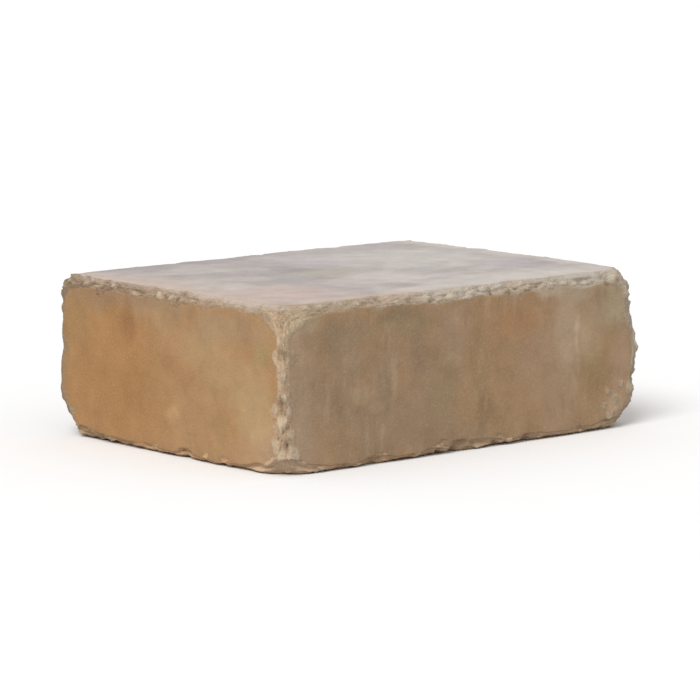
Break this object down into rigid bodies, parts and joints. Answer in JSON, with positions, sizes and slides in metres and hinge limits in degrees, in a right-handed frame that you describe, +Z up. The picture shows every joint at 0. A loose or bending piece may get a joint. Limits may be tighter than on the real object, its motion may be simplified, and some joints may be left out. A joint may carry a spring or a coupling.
{
  "type": "tumbled concrete wall block",
  "caption": "Solid rectangular concrete walling block with worn arrises, knocked corners and flat bed and top faces, for dry-stacked garden walls.",
  "frame": {"origin": "middle of the flat bed face that the block lies on", "axes": "+X along the block's length, -Y out of the long face that shows in a wall, +Z up through the top face"},
  "size_m": [0.293, 0.217, 0.1],
  "materials": {
    "tumbled_concrete": "matte, sandy, colour-blended tan and brown concrete with pale worn arrises"
  },
  "bodies": {
    "root": {"wall_block": "tumbled_concrete"}
  },
  "joints": []
}
